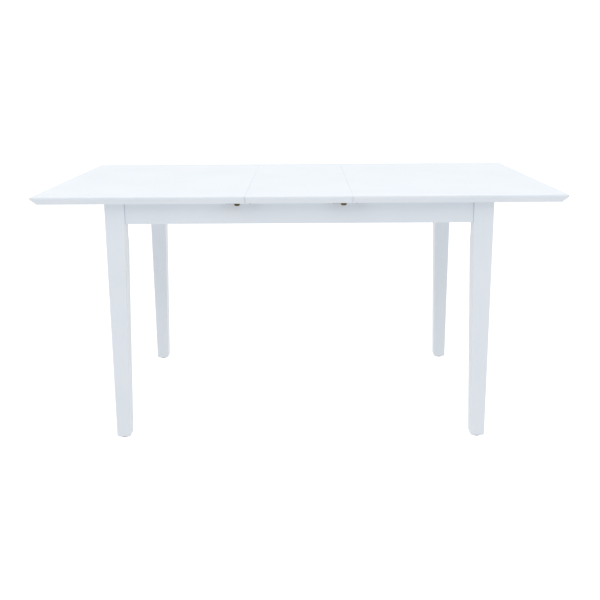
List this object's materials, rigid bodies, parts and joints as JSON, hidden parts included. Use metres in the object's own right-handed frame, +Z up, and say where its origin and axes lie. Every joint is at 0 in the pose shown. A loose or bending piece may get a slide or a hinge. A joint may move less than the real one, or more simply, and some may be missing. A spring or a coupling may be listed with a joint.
{
  "type": "extendable dining table",
  "caption": "Rectangular extendable dining table on four tapered legs, with two sliding end panels, a lift-out centre leaf and latches under the seams.",
  "frame": {"origin": "on the floor, under the middle of the table", "axes": "+X along the table's length, +Y to its rear, +Z up"},
  "size_m": [1.5, 0.8, 0.74],
  "materials": {
    "white_lacquer": "satin white furniture lacquer on wood",
    "bare_beech": "planed, unfinished",
    "zinc_steel": "bright zinc plated",
    "brass_fittings": "aged brass plate",
    "nylon_glides": "moulded grey nylon",
    "felt_pads": "pressed wool felt"
  },
  "bodies": {
    "frame": {"leg_front_left": "white_lacquer", "leg_front_right": "white_lacquer", "leg_rear_left": "white_lacquer", "leg_rear_right": "white_lacquer", "apron_front": "white_lacquer", "apron_rear": "white_lacquer", "apron_left": "white_lacquer", "apron_right": "white_lacquer", "apron_dowels": "bare_beech", "corner_bracket_front_left": "zinc_steel", "corner_bracket_front_right": "zinc_steel", "corner_bracket_rear_left": "zinc_steel", "corner_bracket_rear_right": "zinc_steel", "bracket_screws": "zinc_steel", "hanger_bolts": "zinc_steel", "bolt_washers": "zinc_steel", "wing_nuts": "zinc_steel", "guide_rail_front": "bare_beech", "guide_rail_rear": "bare_beech", "guide_rail_screws": "zinc_steel", "travel_stops": "bare_beech", "cross_rail_left": "bare_beech", "cross_rail_right": "bare_beech", "cross_rail_screws": "zinc_steel", "felt_pads": "felt_pads", "foot_glides": "nylon_glides", "glide_nails": "zinc_steel"},
    "left_panel": {"top_left": "white_lacquer", "runner_left_front": "bare_beech", "runner_left_rear": "bare_beech", "runner_screws_left": "zinc_steel", "support_plates_left": "zinc_steel", "plate_screws_left": "zinc_steel", "latch_pivot_left": "zinc_steel", "keeper_left": "brass_fittings", "keeper_screws_left": "zinc_steel"},
    "right_panel": {"top_right": "white_lacquer", "runner_right_front": "bare_beech", "runner_right_rear": "bare_beech", "runner_screws_right": "zinc_steel", "support_plates_right": "zinc_steel", "plate_screws_right": "zinc_steel", "latch_pivot_right": "zinc_steel", "keeper_right": "brass_fittings", "keeper_screws_right": "zinc_steel"},
    "leaf": {"extension_leaf": "white_lacquer", "latch_pivots_leaf": "zinc_steel", "keepers_leaf": "brass_fittings", "keeper_screws_leaf": "zinc_steel"},
    "left_latch": {"latch_lever_left": "brass_fittings", "latch_knob_left": "brass_fittings"},
    "right_latch": {"latch_lever_right": "brass_fittings", "latch_knob_right": "brass_fittings"},
    "leaf_front_latch": {"latch_lever_leaf_front": "brass_fittings", "latch_knob_leaf_front": "brass_fittings"},
    "leaf_rear_latch": {"latch_lever_leaf_rear": "brass_fittings", "latch_knob_leaf_rear": "brass_fittings"}
  },
  "joints": [
    {"name": "left_panel_slide", "type": "slide", "parent": "frame", "child": "left_panel", "axis": [-1, 0, 0], "range_m": [0, 0.02]},
    {"name": "right_panel_slide", "type": "slide", "parent": "frame", "child": "right_panel", "axis": [1, 0, 0], "range_m": [0, 0.02]},
    {"name": "leaf_lift", "type": "slide", "parent": "frame", "child": "leaf", "axis": [0, 0, 1], "range_m": [0, 0.25]},
    {"name": "left_latch_turn", "type": "hinge", "parent": "left_panel", "child": "left_latch", "pos_m": [-0.174, -0.369, 0.7167], "axis": [0, 0, 1], "range_deg": [0, 180]},
    {"name": "right_latch_turn", "type": "hinge", "parent": "right_panel", "child": "right_latch", "pos_m": [0.174, 0.369, 0.7167], "axis": [0, 0, 1], "range_deg": [0, 180]},
    {"name": "leaf_front_latch_turn", "type": "hinge", "parent": "leaf", "child": "leaf_front_latch", "pos_m": [0.126, -0.369, 0.7167], "axis": [0, 0, 1], "range_deg": [0, 180]},
    {"name": "leaf_rear_latch_turn", "type": "hinge", "parent": "leaf", "child": "leaf_rear_latch", "pos_m": [-0.126, 0.369, 0.7167], "axis": [0, 0, 1], "range_deg": [0, 180]}
  ]
}
